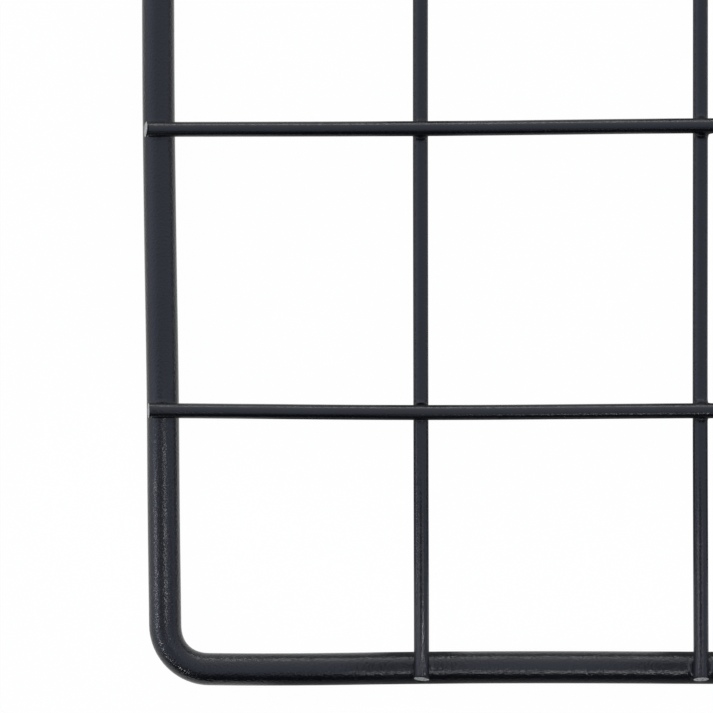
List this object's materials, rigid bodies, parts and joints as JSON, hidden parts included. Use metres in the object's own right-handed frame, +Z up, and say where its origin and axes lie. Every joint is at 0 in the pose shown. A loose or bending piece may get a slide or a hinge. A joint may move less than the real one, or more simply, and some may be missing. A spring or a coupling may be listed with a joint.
{
  "type": "welded wire mesh panel",
  "caption": "Flat rectangular grid of thin crossed wires welded to one face of a thicker bent border rod, for hanging, guarding or shelving.",
  "frame": {"origin": "on the floor under the middle of the panel, which lies flat with its mesh face up", "axes": "+Z up out of the mesh face, +Y along the panel's long side and the line wires, +X along its short side and the cross wires"},
  "size_m": [0.45, 0.65, 0.0102],
  "materials": {
    "border_rod": "satin",
    "wire_mesh": "satin"
  },
  "bodies": {
    "root": {"border_rod": "border_rod", "wire_mesh": "wire_mesh"}
  },
  "joints": []
}
